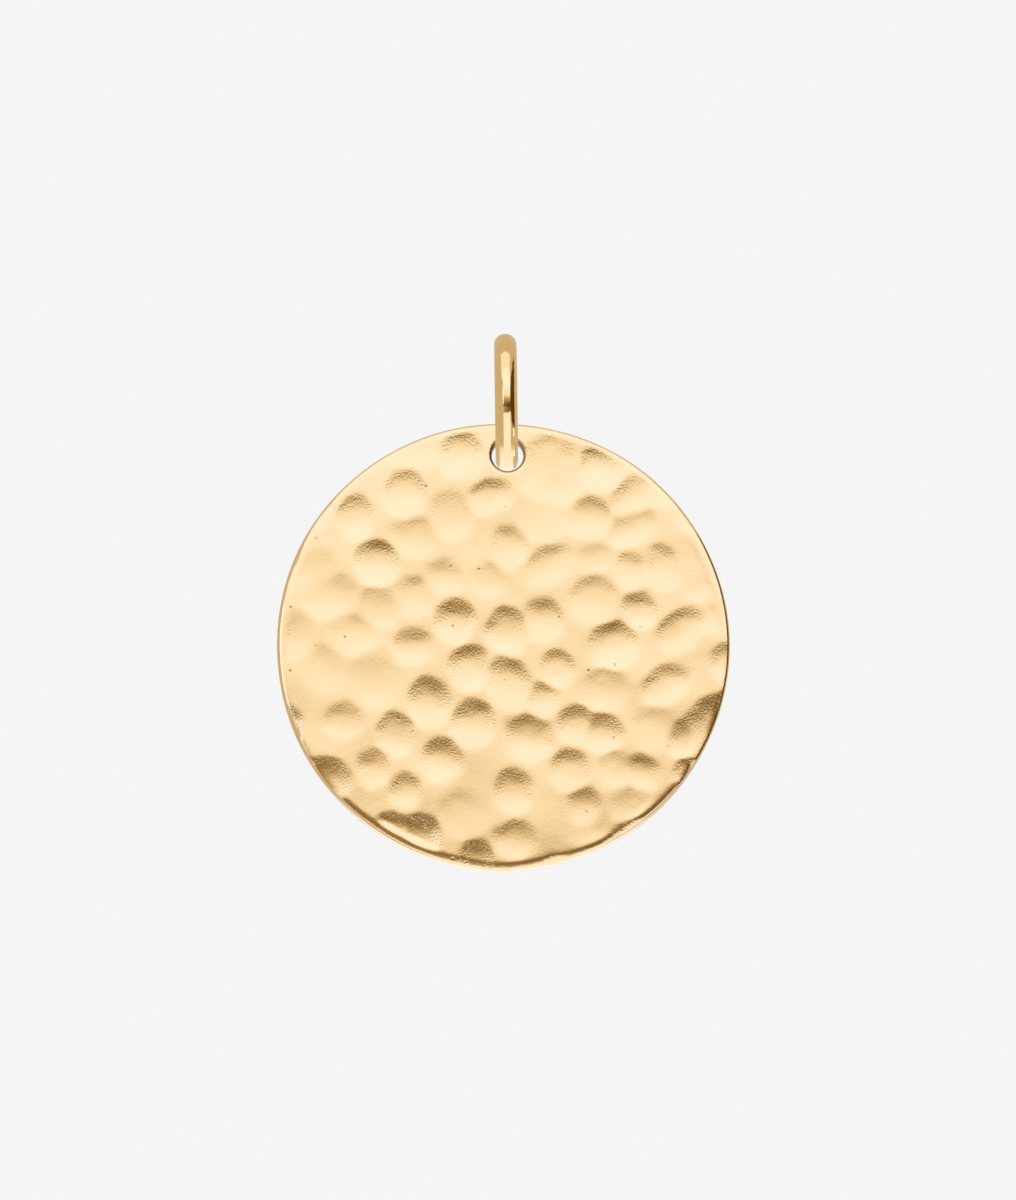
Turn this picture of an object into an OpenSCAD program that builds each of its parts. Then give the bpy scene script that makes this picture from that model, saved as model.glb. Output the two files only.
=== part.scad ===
// Round hammered medallion on a jump ring, in millimetres, hanging with +Z up.
// The front of the disc faces -Y. The origin is where a chain bears, at the inner top of the ring.

/* [Disc] */

// Outer diameter of the disc
disc_d = 20; // [18:0.5:24]
// Thickness of the disc
disc_t = 1.0; // [0.8:0.1:1.4]
// Radius of the rounding round the rim, front and back
rim_r = 0.25; // [0.15:0.05:0.35]

/* [Hammer marks] */

// Depth of all the hammer marks, as a multiple of the charted depth
mark_gain = 1; // [1:0.1:1.2]

/* [Hole] */

// Diameter of the hole for the jump ring
hole_d = 1.6; // [1.6:0.1:2]
// Height of the hole above the disc's centre
hole_rise = 8.6; // [8:0.1:8.6]
// Distance of the hole to the right of the disc's centre
hole_shift = 0.2; // [0:0.1:0.4]
// Width of the softened lip round the hole
lip = 0.08; // [0.04:0.02:0.12]

/* [Jump ring] */

// Diameter of the ring's wire
wire_d = 1.0; // [0.8:0.05:1]
// Outer diameter of the ring
ring_od = 6.1; // [5.5:0.1:8]
// Distance of the wire's centre below the centre of the hole
wire_drop = 0.15; // [0:0.05:0.2]

/* [Hidden] */

round_fn = 128;
eps = 0.01;

ring_r = (ring_od - wire_d) / 2;
ring_z = -(ring_r - wire_d / 2);
hole_z = ring_z - ring_r + wire_drop;
disc_x = -hole_shift;
disc_z = hole_z - hole_rise;
disc_r = disc_d / 2;
face_y = -disc_t / 2;

// The chart of hammer marks was made on a disc of this radius.
chart_r = 10;

// One row per hammer mark, seen from the front with the disc's centre at 0, 0:
// [ across to the right, up, width of the mark, depth of the mark ]
marks = [
    [-1.8, 8.8, 1.7, 0.10], [4.1, 8.05, 1.9, 0.14],
    [-4.3, 7.1, 1.8, 0.11], [-6.5, 6.0, 1.6, 0.10], [-0.45, 6.72, 1.7, 0.13],
    [-2.3, 6.05, 1.5, 0.08], [5.85, 6.85, 1.6, 0.08], [3.7, 5.65, 1.9, 0.12],
    [6.0, 5.2, 2.0, 0.08], [0.2, 4.5, 1.4, 0.06], [-5.65, 3.92, 1.72, 0.16],
    [2.1, 3.55, 2.2, 0.10], [7.2, 3.75, 1.6, 0.11], [6.0, 3.4, 1.5, 0.09],
    [-2.6, 3.1, 1.4, 0.06], [-7.3, 2.3, 1.9, 0.06], [-5.7, 1.8, 1.4, 0.07],
    [-4.2, 2.2, 1.6, 0.08], [4.0, 2.3, 1.7, 0.06], [-2.1, 1.3, 1.75, 0.16],
    [1.9, 1.25, 1.8, 0.10], [0.25, 0.9, 1.75, 0.16], [6.1, 1.7, 1.5, 0.08],
    [8.0, 0.8, 2.1, 0.12], [5.0, 0.17, 2.2, 0.14], [-3.95, 0.0, 1.55, 0.12],
    [-1.45, -0.87, 1.85, 0.15], [2.4, -0.9, 1.9, 0.09], [9.6, -0.9, 2.0, 0.11],
    [0.3, -1.5, 2.1, 0.13], [7.3, -1.85, 2.0, 0.12], [-3.4, -2.4, 2.1, 0.16],
    [1.8, -2.35, 1.4, 0.08], [-7.1, -3.2, 1.6, 0.09], [-1.4, -3.35, 1.9, 0.16],
    [3.4, -3.4, 1.7, 0.13], [4.3, -3.8, 1.8, 0.13], [9.5, -3.2, 2.6, 0.16],
    [-9.1, -3.6, 1.7, 0.14], [-4.8, -3.65, 1.7, 0.12], [8.3, -4.1, 1.9, 0.10],
    [1.1, -4.05, 2.15, 0.12], [-2.7, -4.95, 1.8, 0.14], [-5.85, -5.3, 1.4, 0.10],
    [3.0, -5.45, 1.7, 0.13], [6.2, -5.55, 1.7, 0.11], [-7.9, -5.9, 2.2, 0.18],
    [8.1, -5.8, 1.6, 0.13], [-4.3, -6.35, 1.35, 0.09], [0.45, -6.2, 1.8, 0.13],
    [3.7, -7.1, 1.6, 0.10], [-5.1, -8.1, 1.5, 0.13], [-3.6, -8.35, 1.8, 0.14],
    [0.4, -8.55, 1.8, 0.10], [-1.15, -9.35, 1.6, 0.14], [5.2, -8.85, 1.8, 0.15]
];
col_x = 0;
col_z = 1;
col_w = 2;
col_depth = 3;

// Radius of the hammer face that leaves a mark of this width and depth.
function face_radius(width, depth) = (width * width / 4 + depth * depth) / (2 * depth);

// A round-edged blank that turns about Y.
module blank() {
    rotate([90, 0, 0])
        rotate_extrude($fn = round_fn)
            union() {
                translate([0, -disc_t / 2])
                    square([disc_r - rim_r, disc_t]);
                translate([0, -disc_t / 2 + rim_r])
                    square([disc_r, disc_t - 2 * rim_r]);
                translate([disc_r - rim_r, disc_t / 2 - rim_r])
                    circle(r = rim_r, $fn = round_fn);
                translate([disc_r - rim_r, -disc_t / 2 + rim_r])
                    circle(r = rim_r, $fn = round_fn);
            }
}

// The ball of one hammer blow, sunk into the front face.
module blow(mark) {
    depth = mark[col_depth] * mark_gain;
    ball_r = face_radius(mark[col_w], depth);
    grow = disc_r / chart_r;
    translate([mark[col_x] * grow, face_y + depth - ball_r, mark[col_z] * grow])
        sphere(r = ball_r, $fn = round_fn);
}

// The pierced hole with a softened lip at the front.
module pierce() {
    translate([hole_shift, 0, hole_rise])
        rotate([90, 0, 0]) {
            cylinder(d = hole_d, h = disc_t + 1, center = true, $fn = round_fn);
            translate([0, 0, -face_y - lip])
                cylinder(d1 = hole_d, d2 = hole_d + 2 * lip + 2 * eps, h = lip + eps, $fn = round_fn);
        }
}

module medallion() {
    color([0.83, 0.62, 0.32])
        translate([disc_x, 0, disc_z])
            difference() {
                blank();
                for (mark = marks)
                    blow(mark);
                pierce();
            }
}

module jump_ring() {
    color([0.85, 0.66, 0.38])
        translate([0, 0, ring_z])
            rotate([0, 90, 0])
                rotate_extrude($fn = round_fn)
                    translate([ring_r, 0])
                        circle(d = wire_d, $fn = round_fn);
}

medallion();
jump_ring();
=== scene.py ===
"""A hammered gold medallion on a jump ring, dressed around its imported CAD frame."""

import logging
import math
from dataclasses import dataclass, field
from enum import Enum
from typing import Any

import bmesh
import bpy
import numpy as np
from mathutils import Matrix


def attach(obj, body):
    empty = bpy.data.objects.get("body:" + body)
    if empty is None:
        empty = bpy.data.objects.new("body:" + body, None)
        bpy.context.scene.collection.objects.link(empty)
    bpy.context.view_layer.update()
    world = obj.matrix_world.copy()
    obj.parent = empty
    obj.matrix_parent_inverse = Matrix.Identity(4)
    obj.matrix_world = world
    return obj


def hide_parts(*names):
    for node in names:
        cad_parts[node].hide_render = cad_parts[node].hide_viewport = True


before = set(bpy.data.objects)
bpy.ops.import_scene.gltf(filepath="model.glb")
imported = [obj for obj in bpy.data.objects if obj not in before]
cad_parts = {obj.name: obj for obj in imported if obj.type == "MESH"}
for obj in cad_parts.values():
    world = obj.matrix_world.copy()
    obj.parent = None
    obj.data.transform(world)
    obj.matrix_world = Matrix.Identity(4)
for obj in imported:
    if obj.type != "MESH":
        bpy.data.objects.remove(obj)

LOG = logging.getLogger("medallion_pendant")
MM = 0.001
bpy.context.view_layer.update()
# Dark bronze painted into the colour as shade, in the hole's lip and wall and in the pits.
PAINTED_SHADE_COLOUR = (0.34, 0.20, 0.07, 1.0)
Span = tuple[float, float]
Edges = tuple[float, float, float, float]


class Body(Enum):
    """The CAD bodies that pieces ride on."""

    RING = "jump_ring"
    DISC = "medallion"


class Slot(Enum):
    """The record's material slots."""

    RING = "ring_gold"
    DISC = "disc_gold"


class Signal:
    """A number that a node puts out, ready for Python arithmetic."""

    def __init__(self, bench: "Bench", socket: bpy.types.NodeSocket) -> None:
        """Remembers the socket and the bench that it stands on."""
        self.bench = bench
        self.socket = socket

    def _math(self, operation: str, first: Any, second: Any) -> "Signal":
        """Adds one Math node.

        Args:
            operation: Name of the Math node's operation.
            first: Its first value or signal.
            second: Its second value or signal.

        Returns:
            The node's output.
        """
        return self.bench.node("ShaderNodeMath", {"operation": operation}, {0: first, 1: second})

    def __add__(self, other: Any) -> "Signal":
        """Gives self + other."""
        return self._math("ADD", self, other)

    __radd__ = __add__

    def __mul__(self, other: Any) -> "Signal":
        """Gives self * other."""
        return self._math("MULTIPLY", self, other)

    __rmul__ = __mul__

    def __sub__(self, other: Any) -> "Signal":
        """Gives self - other."""
        return self._math("SUBTRACT", self, other)

    def __rsub__(self, other: Any) -> "Signal":
        """Gives other - self."""
        return self._math("SUBTRACT", other, self)

    def __pow__(self, other: Any) -> "Signal":
        """Gives self to the power of other."""
        return self._math("POWER", self, other)

    def ramp(self, start: float, end: float) -> "Signal":
        """Rises smoothly from 0 at start to 1 at end.

        Args:
            start: Value at which the ramp leaves 0.
            end: Value at which it reaches 1.

        Returns:
            The ramp's output.
        """
        settings = {"interpolation_type": "SMOOTHSTEP"}
        inputs = {"Value": self, "From Min": start, "From Max": end}
        return self.bench.node("ShaderNodeMapRange", settings, inputs)

    def between(self, edges: Edges, nudge: "Signal | None" = None) -> "Signal":
        """Rises smoothly from 0 to 1, stays there and falls back to 0.

        Args:
            edges: The values at which it leaves 0, reaches 1, leaves 1 and is back at 0.
            nudge: What is added to the number for the rise alone, so that it comes sooner.

        Returns:
            The product of the two ramps.
        """
        start, full, fade, end = edges
        rising = self if nudge is None else self + nudge
        return rising.ramp(start, full) * self.ramp(end, fade)

    def moved(self, goal: Any, share: "Signal") -> "Signal":
        """Gives the number moved to a goal by a share of the way."""
        return self + share * (goal - self)

    def angle(self, other: "Signal") -> "Signal":
        """Gives the angle in degrees whose tangent is self / other."""
        return self._math("ARCTAN2", self, other) * (180 / math.pi)

    def output(self, name: str) -> "Signal":
        """Gives another output of the node that this number comes from."""
        return Signal(self.bench, self.socket.node.outputs[name])


class Bench:
    """A material's or the world's node tree, with a short way to add a node."""

    def __init__(self, owner: bpy.types.ID) -> None:
        """Clears the owner's nodes and keeps its tree."""
        owner.use_nodes = True
        self.tree = owner.node_tree
        self.tree.nodes.clear()

    def put(
        self, kind: str, settings: dict[str, Any] | None, inputs: dict[Any, Any] | None
    ) -> bpy.types.Node:
        """Adds a node, sets it up and fills or links its inputs.

        Args:
            kind: The node's type.
            settings: Attributes of the node, set before its inputs.
            inputs: Values or signals by the input's name or number.

        Returns:
            The node.
        """
        made = self.tree.nodes.new(kind)
        for name, value in (settings or {}).items():
            setattr(made, name, value)
        for name, value in (inputs or {}).items():
            if isinstance(value, Signal):
                self.tree.links.new(value.socket, made.inputs[name])
            else:
                made.inputs[name].default_value = value
        return made

    def node(
        self,
        kind: str,
        settings: dict[str, Any] | None = None,
        inputs: dict[Any, Any] | None = None,
        output: Any = 0,
    ) -> Signal:
        """Adds a node and gives one of its outputs.

        Args:
            kind: The node's type.
            settings: Attributes of the node, set before its inputs.
            inputs: Values or signals by the input's name or number.
            output: Name or number of the output that is wanted.

        Returns:
            The wanted output.
        """
        return Signal(self, self.put(kind, settings, inputs).outputs[output])

    def show(self, kind: str, surface: Signal) -> None:
        """Adds an output node and links the surface to it."""
        self.put(kind, None, {"Surface": surface})

    def blend(self, share: Any, first: Any, second: Any) -> Signal:
        """Mixes two colours.

        Args:
            share: 0 for the first colour, 1 for the second.
            first: First colour or signal.
            second: Second colour or signal.

        Returns:
            The mixed colour.
        """
        return self.node("ShaderNodeMix", {"data_type": "RGBA"}, {0: share, 6: first, 7: second}, 2)


@dataclass(frozen=True)
class GoldFinish:
    """Gold plate over brass: its colours, its gloss and the grain of its skin."""

    name: str
    bright: tuple[float, float, float, float]
    deep: tuple[float, float, float, float]
    gloss: float
    gloss_spread: float
    grain_size: float
    grain_height: float
    peel_size: float
    peel_height: float
    pit_spacing: float
    pit_depth: float
    cloud_size: float = 2.2 * MM
    cloud_edge: Span = (0.35, 0.65)
    details: tuple[float, float, float] = (4.0, 2.0, 1.0)
    plain_grain: float = 0.15
    pit_spot: Span = (0.08, 0.02)
    pit_luck: Span = (0.84, 0.98)
    pit_front: Span = (0.1 * MM, -0.1 * MM)
    # Share of painted shade that darkens the pits' colour.
    pit_painted_shade: float = 0.4
    # Levels of the hollow attribute over which painted shade darkens the hole's lip and wall.
    painted_shade_levels: Span = (1.0, 1.5)

    def material(self) -> bpy.types.Material:
        """Builds the finish: two golds in soft clouds, uneven gloss, grain over an orange peel, and pits.

        The "hollow" attribute says how much grain there is, up to 1, and above that how much painted shade
        darkens the metal in the hole's lip and wall. The pits are small spots round the points of a
        scattered pattern, of which few are kept, on the front alone, and painted shade darkens their
        colour.

        Returns:
            The material.
        """
        made = bpy.data.materials.new(self.name)
        bench = Bench(made)
        place = bench.node("ShaderNodeTexCoord", output="Object")
        hollow = bench.node("ShaderNodeAttribute", {"attribute_name": "hollow"}, output="Fac")
        clouds, grain, peel = (
            bench.node("ShaderNodeTexNoise", None, {"Vector": place, "Scale": 1 / size, "Detail": detail})
            for size, detail in zip((self.cloud_size, self.grain_size, self.peel_size), self.details)
        )
        split = bench.node("ShaderNodeSeparateXYZ", None, {"Vector": place})
        across, away, up = (split.output(axis) for axis in "XYZ")
        flat = bench.node("ShaderNodeCombineXYZ", None, {"X": across, "Y": up})
        dots = bench.node(
            "ShaderNodeTexVoronoi",
            {"voronoi_dimensions": "2D"},
            {"Vector": flat, "Scale": 1 / self.pit_spacing},
        )
        luck = bench.node("ShaderNodeSeparateColor", None, {"Color": dots.output("Color")})
        pit = dots.ramp(*self.pit_spot) * luck.ramp(*self.pit_luck) * away.ramp(*self.pit_front)
        # Painted shade: above 1 the hollow attribute darkens the hole's lip and wall.
        painted_shade = hollow.ramp(*self.painted_shade_levels)
        colour = bench.blend(clouds.ramp(*self.cloud_edge), self.bright, self.deep)
        # Painted shade in the pits: their colour is darkened towards the dark bronze.
        colour = bench.blend(self.pit_painted_shade * pit, colour, PAINTED_SHADE_COLOUR)
        # Painted shade on the hole's lip and wall.
        colour = bench.blend(painted_shade, colour, PAINTED_SHADE_COLOUR)
        rough = self.gloss + self.gloss_spread * clouds * grain
        skin = self.plain_grain + (1 - self.plain_grain) * hollow.ramp(0.0, 1.0)
        height = (grain - 0.5) * self.grain_height * skin + peel * self.peel_height - pit * self.pit_depth
        normal = bench.node("ShaderNodeBump", None, {"Strength": 1.0, "Distance": 1.0, "Height": height})
        metal = bench.node(
            "ShaderNodeBsdfPrincipled",
            None,
            {"Base Color": colour, "Metallic": 1.0, "Roughness": rough, "Normal": normal},
        )
        bench.show("ShaderNodeOutputMaterial", metal)
        return made


DISC_GOLD = GoldFinish(
    name="hammered_gold",
    bright=(0.98, 0.70, 0.37, 1.0),
    deep=(0.97, 0.68, 0.35, 1.0),
    gloss=0.13,
    gloss_spread=0.16,
    grain_size=0.09 * MM,
    grain_height=0.012 * MM,
    peel_size=0.3 * MM,
    peel_height=0.003 * MM,
    pit_spacing=1.2 * MM,
    pit_depth=0.008 * MM,
)
RING_GOLD = GoldFinish(
    name="polished_gold",
    bright=(0.98, 0.70, 0.37, 1.0),
    deep=(0.97, 0.68, 0.35, 1.0),
    gloss=0.08,
    gloss_spread=0.10,
    grain_size=0.12 * MM,
    grain_height=0.002 * MM,
    peel_size=0.5 * MM,
    peel_height=0.006 * MM,
    pit_spacing=3.0 * MM,
    pit_depth=0.0,
)


def closed_piece(name: str, points: np.ndarray, faces: list[list[int]]) -> bpy.types.Object:
    """Makes a smooth-shaded piece whose faces point outwards.

    Args:
        name: The piece's name.
        points: Vertex places, one row each, in metres.
        faces: Vertex numbers of each face.

    Returns:
        The piece, at the origin.
    """
    mesh = bpy.data.meshes.new(name)
    mesh.from_pydata(points.tolist(), [], faces)
    shell = bmesh.new()
    shell.from_mesh(mesh)
    bmesh.ops.recalc_face_normals(shell, faces=shell.faces)
    shell.to_mesh(mesh)
    shell.free()
    mesh.shade_smooth()
    piece = bpy.data.objects.new(name, mesh)
    bpy.context.scene.collection.objects.link(piece)
    return piece


def loft(rings: np.ndarray) -> list[list[int]]:
    """Joins each ring of vertex numbers to the next one with quads.

    Args:
        rings: Vertex numbers, one row for each closed ring.

    Returns:
        The quads.
    """
    here, there = rings[:-1], rings[1:]
    quads = np.stack([here, np.roll(here, -1, 1), np.roll(there, -1, 1), there], -1)
    return quads.reshape(-1, 4).tolist()


def gather(fine: np.ndarray, coarse: np.ndarray) -> list[list[int]]:
    """Joins a closed ring to one with half its vertices, with one five-sided face for each coarse step.

    Args:
        fine: Vertex numbers of the finer ring.
        coarse: Vertex numbers of the coarser ring.

    Returns:
        The faces.
    """
    pairs = fine.reshape(-1, 2)
    after = np.roll(pairs, -1, 0)
    return np.stack([pairs[:, 0], pairs[:, 1], after[:, 0], np.roll(coarse, -1), coarse], -1).tolist()


def bell(angle: np.ndarray, middle: float, spread: float) -> np.ndarray:
    """Gives a bell of height 1: the exponential of minus the square of the distance from the middle."""
    return np.exp(-(((angle - middle) / spread) ** 2))


def dapple(
    x: np.ndarray, z: np.ndarray, longest: float, shortest: float, waves: int, seed: int
) -> np.ndarray:
    """Gives an even, restless ripple of height about 1: many plane waves of random direction added up.

    Args:
        x: Distance to the right.
        z: Height.
        longest: Longest wavelength.
        shortest: Shortest wavelength.
        waves: Number of waves.
        seed: Seed of the waves' lengths, directions and phases.

    Returns:
        The ripple at each place.
    """
    draw = np.random.default_rng(seed)
    lengths = shortest * (longest / shortest) ** draw.random(waves)
    turns = draw.random(waves) * math.tau
    phases = draw.random(waves) * math.tau
    total = np.zeros_like(x)
    for length, turn, phase in zip(lengths, turns, phases):
        total += np.sin(math.tau / length * (x * math.cos(turn) + z * math.sin(turn)) + phase)
    return total / math.sqrt(waves / 2)


# One row per hammer mark, as the front view shows it from the disc's centre, in millimetres and degrees:
# (across, up, long width, short width, turn of the long width anticlockwise, depth)
MARK_COLUMNS = ("x", "z", "long", "short", "turn", "depth")
MARKS = (
    (-1.9, 8.6, 2.1, 2.1, 15, 0.115), (2.2, 7.8, 3.2, 3.7, 0, 0.13),
    (4.2, 7.95, 2.2, 2.1, -14, 0.14), (-4.0, 8.75, 1.9, 1.3, 10, 0.03),
    (-4.35, 6.85, 2.0, 2.2, 0, 0.10), (-6.6, 5.8, 1.8, 2.1, 0, 0.10),
    (-0.6, 6.7, 2.2, 1.6, 22, 0.085), (-2.3, 5.85, 2.1, 2.3, 0, 0.075),
    (5.75, 6.65, 2.3, 1.7, 42, 0.09), (1.8, 5.9, 2.6, 2.6, 0, 0.065),
    (3.8, 5.75, 2.3, 1.9, 0, 0.08), (5.75, 5.35, 2.4, 1.7, 28, 0.085),
    (0.3, 4.45, 1.7, 2.0, 0, 0.07), (-3.9, 4.85, 2.4, 1.8, -15, 0.06),
    (-5.62, 3.72, 2.1, 2.15, 0, 0.12), (-8.2, 3.3, 1.9, 2.0, 0, 0.05),
    (1.95, 3.6, 2.5, 1.7, 38, 0.075), (7.1, 3.55, 1.9, 2.1, 0, 0.09),
    (5.7, 3.4, 1.6, 1.7, 0, 0.07), (4.1, 3.9, 1.8, 1.3, 0, 0.035),
    (8.2, 3.7, 2.4, 2.4, 0, 0.045), (-2.6, 3.1, 1.8, 1.5, -12, 0.05),
    (-0.6, 2.95, 1.6, 1.5, 0, 0.04), (-7.7, 2.25, 2.6, 2.3, 0, 0.07),
    (-5.4, 1.7, 2.1, 1.9, -15, 0.06), (-4.0, 2.2, 1.9, 1.9, -25, 0.06),
    (4.0, 2.1, 2.3, 2.3, 0, 0.08), (8.9, 2.75, 1.7, 1.7, 0, 0.045),
    (9.5, 1.3, 1.4, 1.3, 0, 0.03), (-2.15, 1.15, 1.95, 2.0, 0, 0.12),
    (0.2, 0.7, 2.0, 2.2, 8, 0.115), (1.75, 1.2, 1.9, 1.9, 20, 0.08),
    (6.0, 1.6, 1.7, 1.7, 20, 0.08), (7.95, 0.75, 2.6, 1.8, 38, 0.095),
    (4.85, 0.1, 2.4, 2.15, 25, 0.105), (-6.7, 0.6, 2.5, 2.0, 0, 0.06),
    (-9.2, 0.5, 1.9, 2.2, 0, 0.045), (-4.0, 0.0, 1.9, 1.65, 5, 0.068),
    (-8.0, -0.9, 2.0, 2.2, 0, 0.045), (-5.7, -1.45, 2.2, 2.5, 0, 0.05),
    (-1.5, -0.95, 2.0, 2.1, 10, 0.115), (0.25, -1.65, 2.1, 2.5, 25, 0.11),
    (2.4, -1.0, 1.6, 1.7, 0, 0.078), (1.75, -2.35, 1.5, 1.6, 0, 0.075),
    (4.5, -1.95, 2.1, 1.9, 5, 0.06), (7.2, -1.7, 2.4, 1.65, 27, 0.085),
    (9.95, -0.7, 1.7, 1.9, 0, 0.08), (9.6, -3.7, 3.3, 3.2, 33, 0.16),
    (-3.3, -2.5, 2.0, 2.3, 10, 0.115), (-7.05, -3.3, 1.9, 1.6, 0, 0.06),
    (-4.8, -3.9, 1.7, 2.0, 10, 0.085), (-9.8, -3.6, 1.8, 2.0, -38, 0.11),
    (-8.0, -5.9, 2.7, 2.0, -8, 0.115), (4.1, 7.6, 0.9, 0.8, 0, 0.03),
    (-5.8, -5.4, 1.6, 1.7, 0, 0.075), (-4.3, -6.4, 1.5, 1.6, 0, 0.07),
    (-5.0, -8.2, 1.5, 1.6, 0, 0.105), (-3.7, -8.55, 2.0, 2.25, -5, 0.14),
    (-4.4, -8.1, 1.0, 1.2, 0, 0.07), (-2.7, -5.05, 2.0, 2.0, -10, 0.10),
    (-1.35, -3.45, 2.1, 2.2, -15, 0.115), (1.1, -4.05, 2.3, 2.1, 0, 0.09),
    (3.2, -3.5, 1.9, 1.8, 0, 0.095), (4.4, -3.85, 2.1, 1.7, -15, 0.10),
    (6.6, -3.7, 2.0, 2.0, 0, 0.05), (8.05, -4.15, 1.9, 1.7, 30, 0.09),
    (2.95, -5.5, 1.9, 1.9, 10, 0.095), (4.9, -5.5, 1.6, 1.6, 0, 0.045),
    (6.2, -5.6, 1.5, 1.7, 15, 0.07), (0.5, -6.4, 1.8, 2.0, 0, 0.09),
    (-1.8, -7.45, 2.2, 2.1, 0, 0.05), (3.5, -7.1, 1.6, 1.9, 0, 0.072),
    (3.8, -8.2, 1.8, 1.4, 0, 0.03), (0.5, -8.6, 2.0, 1.7, 0, 0.068),
    (-1.15, -9.55, 1.6, 2.0, 0, 0.10), (8.25, -5.6, 1.5, 1.3, 10, 0.085),
    (5.7, -7.1, 2.0, 1.8, 0, 0.05), (5.65, -8.6, 2.7, 1.7, 33, 0.09),
    (2.3, -9.7, 1.2, 0.9, 0, 0.04), (7.2, 7.1, 1.8, 1.7, -40, 0.05),
    (8.3, 5.9, 1.6, 1.5, -45, 0.05), (-8.3, 6.2, 1.8, 1.7, 40, 0.05),
    (-9.6, 4.1, 1.4, 1.4, 60, 0.05),
)


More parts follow.
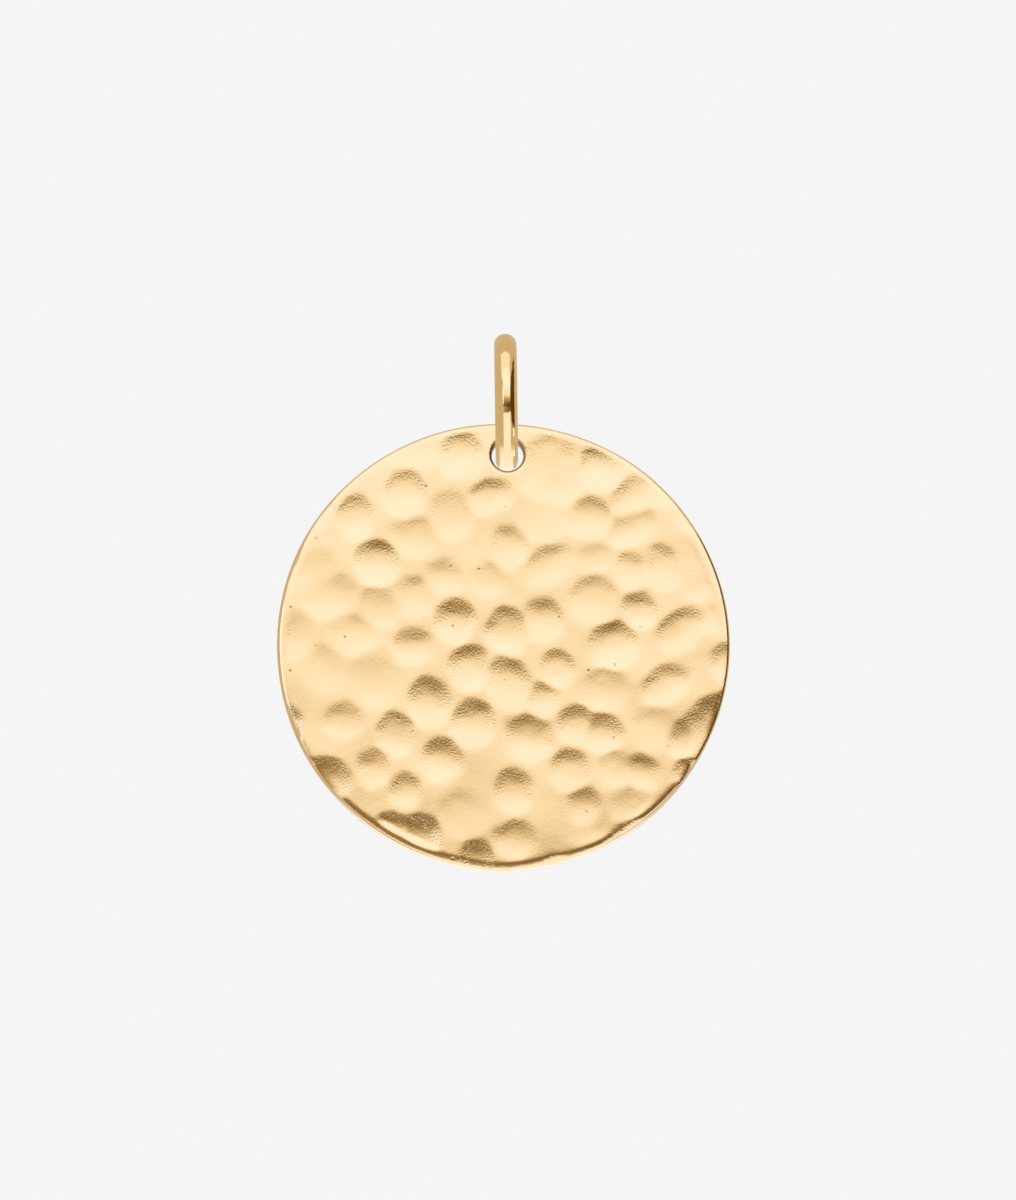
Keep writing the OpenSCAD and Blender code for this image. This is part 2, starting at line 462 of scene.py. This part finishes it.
@dataclass
class Medallion:
    """The pierced disc: a hammered front, a rounded rim, a softened hole and a plain back."""

    radius: float = 10.02 * MM
    thickness: float = 1.0 * MM
    roll: float = 0.125 * MM
    slope: float = 0.21
    slope_width: float = 0.14 * MM
    low_slope_width: float = 0.13 * MM
    low_slope_at: float = math.radians(-100.0)
    low_slope_spread: float = 0.3
    easing: float = 0.4
    bite: float = 0.9
    bite_at: float = math.radians(-145.0)
    bite_spread: float = 0.12
    fade_from: float = 0.26 * MM
    fade_to: float = 0.62 * MM
    faded: float = 0.15
    rim_reach: float = 9.61 * MM
    fade_below: float = 6.0 * MM
    bow: float = 0.09 * MM
    back_rim: float = 0.06 * MM
    centre_x: float = -0.2 * MM
    centre_z: float = -13.05 * MM
    hole_radius: float = 0.705 * MM
    hole_x: float = 0.2 * MM
    hole_z: float = 8.55 * MM
    lip: float = 0.18 * MM
    softness: float = 0.014 * MM
    strike: float = 0.88
    squareness: float = 2.15
    probe: float = 0.05 * MM
    grain_from: float = 0.04
    grain_full: float = 0.14
    chart_stretch: float = 1.0067
    chart_drop: float = 0.06 * MM
    wander: float = 0.025 * MM
    wander_waves: tuple[float, float, int] = (2.5 * MM, 0.8 * MM, 20)
    swell: float = 0.006 * MM
    swell_waves: tuple[float, float, int] = (5.0 * MM, 2.0 * MM, 24)
    cells: int = 256
    flat_rings: int = 118
    hole_gap: tuple[int, int, int, int] = (113, 149, 217, 245)
    gap_rings: int = 8
    lip_rings: int = 6
    # Painted shade on the lip, growing as it turns into the hole, and full painted shade on the wall.
    lip_painted_shade: float = 0.5
    wall_from: float = 2.5
    wall_rings: int = 5
    wall_painted_shade: float = 2.0
    back_lip_rings: int = 4
    side_rings: int = 3
    back_rim_rings: int = 5
    gathers: int = 3
    gather_step: float = 0.06 * MM
    back_rings: int = 40
    back_crowding: float = 0.8
    finish: GoldFinish = DISC_GOLD
    waves: tuple[tuple[int, float, float], ...] = (
        (2, 0.3, 0.030 * MM),
        (3, -1.1, 0.015 * MM),
        (7, 0.0, 0.010 * MM),
    )
    bulge: float = 0.07 * MM
    bulge_at: float = math.radians(-90.0)
    bulge_spread: float = 0.1
    points: list[np.ndarray] = field(default_factory=list)
    hollows: list[np.ndarray] = field(default_factory=list)
    mouth_ring: np.ndarray | None = None
    count: int = 0

    def outline(self, angle: np.ndarray) -> np.ndarray:
        """Gives the disc's radius at an angle: a circle with slow waves and a slight bulge at the bottom.

        Args:
            angle: Angle from the right, anticlockwise, from -pi to pi.

        Returns:
            The radius at each angle.
        """
        waves = sum(height * np.cos(number * angle + phase) for number, phase, height in self.waves)
        return self.radius + waves + self.bulge * bell(angle, self.bulge_at, self.bulge_spread)

    def worn(self, x: np.ndarray, z: np.ndarray) -> np.ndarray:
        """Gives how far the worn slope inside the rolled edge lies under the plane.

        The slope grows evenly to its full steepness over the easing, a share of its width, and then stays.
        It is widest round the bottom and all but gone where one mark bites into the rim, each by a bell of
        the angle from there.

        Args:
            x: Distance to the right of the disc's centre.
            z: Height above the disc's centre.

        Returns:
            The drop at each place.
        """
        angle = np.arctan2(z, x)
        low = np.exp((np.cos(angle - self.low_slope_at) - 1) / self.low_slope_spread)
        width = self.slope_width + self.low_slope_width * low
        share = np.clip(1 - (self.outline(angle) - np.hypot(x, z) - self.roll) / width, 0, None)
        slope = self.slope * (1 - self.bite * bell(angle, self.bite_at, self.bite_spread))
        eased, full = share**2 / (2 * self.easing), share - self.easing / 2
        return slope * width * np.where(share < self.easing, eased, full)

    def hammered(self, x: np.ndarray, z: np.ndarray) -> np.ndarray:
        """Gives the depth of the hammer marks under the face.

        Each mark is a pan, depth * (1 - r^n), where r^2 is the sum of the squares of the distances along
        and across the mark over its half widths: a higher n has a flatter floor and a steeper wall. The
        depth is that of the deepest pan, or none, with the meeting lines softened: the logarithm of the sum
        of the exponentials. Two ripples push the marks' outlines about. Marks whose middle lies well inside
        the edge fade as they near it, by a smooth step, but marks struck over the edge and those at the top
        don't.

        Args:
            x: Distance to the right of the disc's centre.
            z: Height above the disc's centre.

        Returns:
            The depth at each place.
        """
        chart = dict(zip(MARK_COLUMNS, np.array(MARKS, float).T))
        total = np.zeros_like(x)
        inside = self.outline(np.arctan2(z, x)) - np.hypot(x, z)
        fade = np.clip((inside - self.fade_from) / (self.fade_to - self.fade_from), 0, 1)
        fade = self.faded + (1 - self.faded) * fade**2 * (3 - 2 * fade)
        x_here = x + self.wander * dapple(x, z, *self.wander_waves, seed=1)
        z_here = z + self.wander * dapple(x, z, *self.wander_waves, seed=2)
        for row in range(len(MARKS)):
            mark = {name: column[row] for name, column in chart.items()}
            turn = math.radians(mark["turn"])
            mark_x, mark_z = mark["x"] * MM, mark["z"] * MM
            across = x_here - mark_x
            up = z_here - mark_z * self.chart_stretch + self.chart_drop
            along = (across * math.cos(turn) + up * math.sin(turn)) / (mark["long"] * MM / 2)
            aside = (up * math.cos(turn) - across * math.sin(turn)) / (mark["short"] * MM / 2)
            pan = self.strike * mark["depth"] * MM * (1 - (along**2 + aside**2) ** (self.squareness / 2))
            if math.hypot(mark_x, mark_z) < self.rim_reach and mark_z < self.fade_below:
                pan = pan * fade
            total = np.logaddexp(total, pan / self.softness)
        return total * self.softness

    def front(self, x: np.ndarray, z: np.ndarray, drop: np.ndarray, painted_shade: float = 0.0) -> np.ndarray:
        """Adds points on the front: the plane, less the marks, the slow ripple, the bow and the worn edge.

        The bow grows as the sixth power of the distance from the centre. The grain grows with the steepness
        of the marks' walls, taken from the depth a small step lower down and a small step to the left.

        Args:
            x: Distance to the right of the disc's centre.
            z: Height above the disc's centre.
            drop: How far the rolled edge or the lip lies under the plane.
            painted_shade: How much painted shade darkens the metal there.

        Returns:
            The points' vertex numbers.
        """
        depth = self.hammered(x, z)
        lower, aside = self.hammered(x, z - self.probe), self.hammered(x - self.probe, z)
        steep = np.hypot(lower - depth, aside - depth) / self.probe
        hollow = np.clip((steep - self.grain_from) / (self.grain_full - self.grain_from), 0, 1)
        ripple = self.swell * dapple(x, z, *self.swell_waves, seed=7)
        depth = depth + drop + self.worn(x, z) + self.bow * (np.hypot(x, z) / self.radius) ** 6 + ripple
        # The hollow attribute carries the grain and, above 1, the painted shade.
        return self.add(self.place(x, -self.thickness / 2 + depth, z), np.maximum(hollow, painted_shade))

    def place(self, x: np.ndarray, y: Any, z: np.ndarray) -> np.ndarray:
        """Turns places on the disc into points of the frame."""
        x, y, z = np.broadcast_arrays(x, y, z)
        return np.stack([x + self.centre_x, y, z + self.centre_z], -1).reshape(-1, 3)

    def add(self, points: np.ndarray, hollow: np.ndarray | None = None) -> np.ndarray:
        """Keeps points and how hollow the front is there, and gives their vertex numbers."""
        numbers = np.arange(self.count, self.count + len(points))
        self.points.append(points)
        self.hollows.append(np.zeros(len(points)) if hollow is None else hollow)
        self.count += len(points)
        return numbers

    def face_grid(self) -> tuple[np.ndarray, np.ndarray, np.ndarray]:
        """Works out the front's grid, which runs from the middle over the rim's front rounding.

        A square grid is carried onto the disc so that each square ring becomes a circle of vertices at even
        angles. The last rings are spaced evenly along the rounding.

        Returns:
            The distance to the right, the height and the rounding's drop, as grids.
        """
        step = np.arange(-(self.cells // 2), self.cells // 2 + 1)
        a, b = np.meshgrid(step, step, indexing="ij")
        wide = np.abs(a) > np.abs(b)
        reach = np.where(wide, a, b).astype(float)
        share = np.divide(np.where(wide, b, a), reach, out=np.zeros(a.shape), where=reach != 0)
        angle = np.where(wide, share * math.pi / 4, math.pi / 2 - share * math.pi / 4)
        angle = np.where(reach < 0, angle + math.pi, angle)
        angle = (angle + math.pi) % math.tau - math.pi
        flat = self.outline(angle) - self.roll
        ring = np.abs(reach)
        bend = np.clip(ring - self.flat_rings, 0, None) / (self.cells // 2 - self.flat_rings) * math.pi / 2
        out = flat * np.minimum(ring / self.flat_rings, 1) + self.roll * np.sin(bend)
        return out * np.cos(angle), out * np.sin(angle), self.roll * (1 - np.cos(bend))

    def build(self) -> bpy.types.Object:
        """Builds the disc as one closed skin.

        The front's grid lacks a rectangle, which the hole and its surround then fill. Vertices that no face
        uses are dropped at the end.

        Returns:
            The piece.
        """
        x, z, drop = self.face_grid()
        numbers = self.front(x.ravel(), z.ravel(), drop.ravel()).reshape(x.shape)
        left, right, low, high = self.hole_gap
        keep = np.ones((self.cells, self.cells), bool)
        keep[left:right, low:high] = False
        quads = np.stack([numbers[:-1, :-1], numbers[1:, :-1], numbers[1:, 1:], numbers[:-1, 1:]], -1)
        faces = quads[keep].tolist()
        faces += self.pierce(self.walk(numbers, left, right, low, high))
        faces += self.back(self.walk(numbers, 0, self.cells, 0, self.cells))

        used = np.zeros(self.count, bool)
        used[np.concatenate([np.ravel(face) for face in faces])] = True
        fresh = np.cumsum(used) - 1
        faces = [fresh[face].tolist() for face in faces]
        piece = closed_piece("medallion_disc", np.concatenate(self.points)[used], faces)
        hollow = piece.data.attributes.new("hollow", "FLOAT", "POINT")
        hollow.data.foreach_set("value", np.concatenate(self.hollows)[used].astype(np.float32))
        return piece

    def walk(self, numbers: np.ndarray, left: int, right: int, low: int, high: int) -> np.ndarray:
        """Lists the vertex numbers round a rectangle of the grid, anticlockwise from its lower left."""
        return np.concatenate(
            [
                numbers[left:right, low],
                numbers[right, low:high],
                numbers[right:left:-1, high],
                numbers[left, high:low:-1],
            ]
        )

    def round_hole(self, reach: Any, cos: np.ndarray, sin: np.ndarray) -> tuple[np.ndarray, np.ndarray]:
        """Gives places on the disc at a distance from the hole's centre."""
        return self.hole_x + reach * cos, self.hole_z + reach * sin

    def pierce(self, start: np.ndarray) -> list[list[int]]:
        """Fills the grid's gap up to the hole, rolls over the lip and runs down the wall.

        Each vertex of the gap's edge moves straight towards the hole's centre onto the lip's circle, and
        the lip turns a quarter round into the wall, at the front and again at the back.

        Args:
            start: Vertex numbers round the gap.

        Returns:
            The faces.
        """
        edge = np.concatenate(self.points)[start]
        x, z = edge[:, 0] - self.centre_x, edge[:, 2] - self.centre_z
        away = np.hypot(x - self.hole_x, z - self.hole_z)
        cos, sin = (x - self.hole_x) / away, (z - self.hole_z) / away
        mouth = self.hole_radius + self.lip
        half = self.thickness / 2
        rings = [start]
        for share in np.linspace(0, 1, self.gap_rings + 1)[1:]:
            px, pz = self.round_hole(away + (mouth - away) * share, cos, sin)
            rings.append(self.front(px, pz, np.zeros_like(px)))
        for turn in np.linspace(0, math.pi / 2, self.lip_rings + 1)[1:]:
            px, pz = self.round_hole(mouth - self.lip * math.sin(turn), cos, sin)
            drop = np.full_like(px, self.lip * (1 - math.cos(turn)))
            # The lip carries painted shade, darker as it turns into the hole.
            rings.append(self.front(px, pz, drop, 1 + self.lip_painted_shade * turn))
        px, pz = self.round_hole(self.hole_radius, cos, sin)
        # The wall carries full painted shade.
        dark = np.full_like(px, self.wall_painted_shade)
        for y in np.linspace(-half + self.wall_from * self.lip, half - self.lip, self.wall_rings):
            rings.append(self.add(self.place(px, y, pz), dark))
        for turn in np.linspace(math.pi / 2, 0, self.back_lip_rings + 1)[1:]:
            px, pz = self.round_hole(mouth - self.lip * math.sin(turn), cos, sin)
            y = half - self.lip * (1 - math.cos(turn))
            rings.append(self.add(self.place(px, y, pz)))
        self.mouth_ring = rings[-1]
        return loft(np.stack(rings))

    def back(self, start: np.ndarray) -> list[list[int]]:
        """Carries the rim round to the back and closes the back up to the hole.

        The back's rim is a small rounding. Inside it a few rings each have half the vertices of the last
        one, and the rest are drawn straight from there to the hole.

        Args:
            start: Vertex numbers round the front grid, at the end of the front rounding.

        Returns:
            The faces.
        """
        edge = np.concatenate(self.points)[start]
        x, z = edge[:, 0] - self.centre_x, edge[:, 2] - self.centre_z
        full = np.hypot(x, z)
        cos, sin = x / full, z / full
        half = self.thickness / 2
        rings = [start]
        front_y, back_y = edge[:, 1], half - self.back_rim
        for share in np.linspace(0, 1, self.side_rings + 1)[1:]:
            rings.append(self.add(self.place(x, front_y + (back_y - front_y) * share, z)))
        for turn in np.linspace(0, math.pi / 2, self.back_rim_rings + 1)[1:]:
            reach = full - self.back_rim * (1 - math.cos(turn))
            y = half - self.back_rim * (1 - math.sin(turn))
            rings.append(self.add(self.place(reach * cos, y, reach * sin)))
        faces = loft(np.stack(rings))

        fine, inset = rings[-1], self.back_rim
        for _ in range(self.gathers):
            inset = inset + self.gather_step
            cos, sin, full = cos[::2], sin[::2], full[::2]
            reach = full - inset
            coarse = self.add(self.place(reach * cos, half, reach * sin))
            faces += gather(fine, coarse)
            fine = coarse

        points = np.concatenate(self.points)
        outer, inner = points[fine], points[self.mouth_ring]
        rings = [fine]
        for share in np.linspace(0, 1, self.back_rings + 1)[1:-1] ** self.back_crowding:
            rings.append(self.add(outer + (inner - outer) * share))
        rings.append(self.mouth_ring)
        return faces + loft(np.stack(rings))

    def dress(self) -> bpy.types.Object:
        """Builds the disc, gives it its finish and hangs it on its body."""
        piece = self.build()
        piece.data.materials.append(self.finish.material())
        piece.visible_glossy = False
        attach(piece, Body.DISC.value)
        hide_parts("medallion")
        return piece


@dataclass
class JumpRing:
    """The round-wire ring, seen edge-on and leaning a touch."""

    wire: float = 0.5 * MM
    centre_line: float = 2.58 * MM
    centre_x: float = -0.03 * MM
    centre_z: float = -2.07 * MM
    lean: float = math.radians(0.8)
    ripple: float = 0.0012 * MM
    ripples: tuple[tuple[int, int, float], ...] = ((31, 2, 0.0), (23, -3, 1.0), (47, 1, 2.0))
    around: int = 480
    across: int = 56
    finish: GoldFinish = RING_GOLD

    def build(self) -> bpy.types.Object:
        """Builds the ring: a circle carried round a circle, which leans a little to the left as it rises.

        Sine waves that run round the ring and round the wire make the wire's radius very slightly uneven.

        Returns:
            The piece.
        """
        turn = np.linspace(0, math.tau, self.around, endpoint=False)[:, None]
        tube = np.linspace(0, math.tau, self.across, endpoint=False)[None, :]
        waves = sum(np.sin(along * turn + about * tube + phase) for along, about, phase in self.ripples)
        wire = self.wire + self.ripple * waves
        out = self.centre_line + wire * np.cos(tube)
        x = self.centre_x + wire * np.sin(tube)
        y = out * np.cos(turn)
        z = out * np.sin(turn)
        x = x - (z + self.centre_line) * math.sin(self.lean)
        points = np.stack(np.broadcast_arrays(x, y, z + self.centre_z), -1).reshape(-1, 3)
        numbers = np.arange(len(points)).reshape(self.around, self.across)
        rings = np.concatenate([numbers, numbers[:1]])
        return closed_piece("jump_ring_wire", points, loft(rings))

    def dress(self) -> bpy.types.Object:
        """Builds the ring, gives it its finish and puts it on its body."""
        piece = self.build()
        piece.data.materials.append(self.finish.material())
        piece.visible_glossy = False
        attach(piece, Body.RING.value)
        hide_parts("jump_ring")
        return piece


@dataclass
class Studio:
    """A pale tent and floor, soft light from the front and above, and the camera."""

    backdrop: float = 0.913
    tent_radius: float = 4.0
    floor_radius: float = 3.5
    floor_drop: float = 0.6
    room: float = 0.64
    panel: float = 1.04
    slot: float = 0.62
    gap: float = 0.10
    glint: float = 1.1
    beyond_one: float = 1.01
    panel_rise: Edges = (-174, -168, 92, 100)
    core_side: Edges = (-0.30, -0.22, 0.33, 0.40)
    core_widening: float = 0.15
    core_wide_face: Span = (12, 30)
    low_side: Edges = (-0.74, -0.50, 0.50, 0.62)
    low_face: Span = (-36, -48)
    slot_rise: Edges = (-17, -11, 1, 15)
    slot_right: Edges = (-0.74, -0.64, 0.7, 0.9)
    middle_dip: float = 0.30
    middle_right: Span = (-0.60, -0.35)
    foot_dip: float = 0.12
    foot_rise: Span = (3, -7)
    end_dip: float = 0.10
    end_right: Span = (0.0, 0.3)
    gap_side: Edges = (0.40, 0.47, 0.70, 0.76)
    gap_face: Edges = (-26, -20, 40, 46)
    gap_widening: float = 0.07
    gap_top: float = 0.30
    gap_top_face: Span = (8, 48)
    gap_foot: float = 0.20
    gap_foot_face: Span = (-4, -24)
    lamp_side: Edges = (-0.32, -0.29, -0.25, -0.23)
    lamp_face: Edges = (-3, 0, 10, 13)
    card_side: Edges = (0.57, 0.61, 0.67, 0.71)
    card_faces: tuple[Edges, Edges] = ((-29, -26, -23, -20), (-53, -50, -44, -42))
    shine_rise: Edges = (13, 27, 50, 66)
    low_shine: float = 0.6
    low_shine_rise: Span = (-14, -20)
    glint_shine: float = 2.5
    warmth: tuple[float, float, float] = (1.0, 1.25, 1.85)
    cool: tuple[float, float, float] = (0.05, 0.20, 0.52)
    tilt: float = math.radians(8.5)
    pixels_per_mm: float = 22.5
    image_height: int = 1200
    lens: float = 200.0
    sensor: float = 24.0
    aim: tuple[float, float, float] = (0.02 * MM, 0.0, -10.96 * MM)
    clip: Span = (0.01, 20.0)

    def tent(self) -> None:
        """Sets up the backdrop and the floor, which only the camera sees."""
        paper = bpy.data.materials.new("pale_paper")
        bench = Bench(paper)
        grey = (self.backdrop, self.backdrop, self.backdrop, 1.0)
        glow = bench.node("ShaderNodeEmission", None, {"Color": grey, "Strength": 1.0})
        bench.show("ShaderNodeOutputMaterial", glow)
        bpy.ops.mesh.primitive_uv_sphere_add(segments=48, ring_count=24, radius=self.tent_radius)
        tent = bpy.context.object
        tent.name = "studio_tent"
        bpy.ops.mesh.primitive_circle_add(
            vertices=64, radius=self.floor_radius, fill_type="NGON", location=(0, 0, -self.floor_drop)
        )
        floor = bpy.context.object
        floor.name = "studio_floor"
        for piece in (tent, floor):
            piece.data.materials.append(paper)
            piece.visible_glossy = False
            piece.visible_diffuse = False
            piece.visible_shadow = False

    def light(self) -> None:
        """Fills the tent with light, which the metal mirrors.

        Directions are taken from the camera's own line: a share to the right, and a rise in degrees. Two
        more numbers describe the mirror that would show a direction to the camera: side is how far it is
        turned to the right, and face is how many degrees it looks up. They come from the line halfway
        between the two directions. Slightly more than 1 is added there, so that nothing is divided by 0.

        A panel stands in front, wider at the left higher up, brightest a little above and below the camera,
        with a wide one low down. The slot that the camera looks through is dim, most of all in its middle
        and at its foot, and so is a gap at the right, which narrows at both ends. A lamp at the left and
        two cards at the right make small glints. The rest is the room, at about two thirds. Dim parts are
        warm, by a power of the level for each colour, and bright parts are cool.
        """
        world = bpy.data.worlds.new("studio_light")
        bpy.context.scene.world = world
        bench = Bench(world)
        way = bench.node("ShaderNodeTexCoord", output="Generated")
        turned = bench.node(
            "ShaderNodeVectorRotate", {"rotation_type": "X_AXIS"}, {"Vector": way, "Angle": -self.tilt}
        )
        split = bench.node("ShaderNodeSeparateXYZ", None, {"Vector": turned})
        right, away, up = (split.output(axis) for axis in "XYZ")
        toward = away * -1
        rise = up.angle(toward)
        halfway = toward + self.beyond_one
        side = right * (2 * halfway) ** -0.5
        face = up.angle(halfway)

        core = side.between(self.core_side, self.core_widening * face.ramp(*self.core_wide_face))
        low = face.ramp(*self.low_face) * side.between(self.low_side)
        panel = (core + low * (1 - core)) * rise.between(self.panel_rise)
        slot = rise.between(self.slot_rise) * right.between(self.slot_right)
        dip = self.middle_dip + self.foot_dip * rise.ramp(*self.foot_rise)
        slot_level = self.slot - dip * right.ramp(*self.middle_right)
        slot_level = slot_level - self.end_dip * right.ramp(*self.end_right)
        widening = self.gap_widening - self.gap_top * face.ramp(*self.gap_top_face)
        widening = widening - self.gap_foot * face.ramp(*self.gap_foot_face)
        gap = side.between(self.gap_side, widening) * face.between(self.gap_face)
        lamp = side.between(self.lamp_side) * face.between(self.lamp_face)
        upper, lower = (face.between(edges) for edges in self.card_faces)
        card = side.between(self.card_side) * (upper + lower)
        glint = lamp + card * (1 - lamp)

        lit = self.room + panel * (self.panel - self.room)
        lit = lit.moved(slot_level, slot).moved(self.gap, gap).moved(self.glint, glint)
        bright = rise.between(self.shine_rise) + self.low_shine * rise.ramp(*self.low_shine_rise)
        shine = bright * panel * (1 - slot) * (1 - gap) + self.glint_shine * glint
        channels = {
            name: lit**power + share * shine
            for name, power, share in zip(("Red", "Green", "Blue"), self.warmth, self.cool)
        }
        colour = bench.node("ShaderNodeCombineColor", {"mode": "RGB"}, channels)
        shade = bench.node("ShaderNodeBackground", None, {"Color": colour, "Strength": 1.0})
        bench.show("ShaderNodeOutputWorld", shade)

    def camera(self) -> None:
        """Places the camera in front and a little below, at the distance that gives the picture's scale."""
        data = bpy.data.cameras.new("camera")
        data.sensor_fit = "VERTICAL"
        data.sensor_height = self.sensor
        data.lens = self.lens
        camera = bpy.data.objects.new("camera", data)
        bpy.context.scene.collection.objects.link(camera)
        view_height = self.image_height / self.pixels_per_mm * MM
        distance = view_height * self.lens / self.sensor
        x, y, z = self.aim
        camera.location = (x, y - distance * math.cos(self.tilt), z - distance * math.sin(self.tilt))
        camera.rotation_euler = (math.pi / 2 + self.tilt, 0.0, 0.0)
        data.clip_start, data.clip_end = self.clip
        bpy.context.scene.camera = camera

    def build(self) -> None:
        """Sets up the whole studio."""
        self.tent()
        self.light()
        self.camera()
        bpy.context.scene.view_settings.view_transform = "Standard"


def main() -> None:
    """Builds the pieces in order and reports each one."""
    logging.basicConfig(level=logging.INFO, format="%(message)s")
    Studio().build()
    for part in (Medallion(), JumpRing()):
        piece = part.dress()
        LOG.info("%s: %d faces, %d points", piece.name, len(piece.data.polygons), len(piece.data.vertices))


if __name__ == "__main__":
    main()
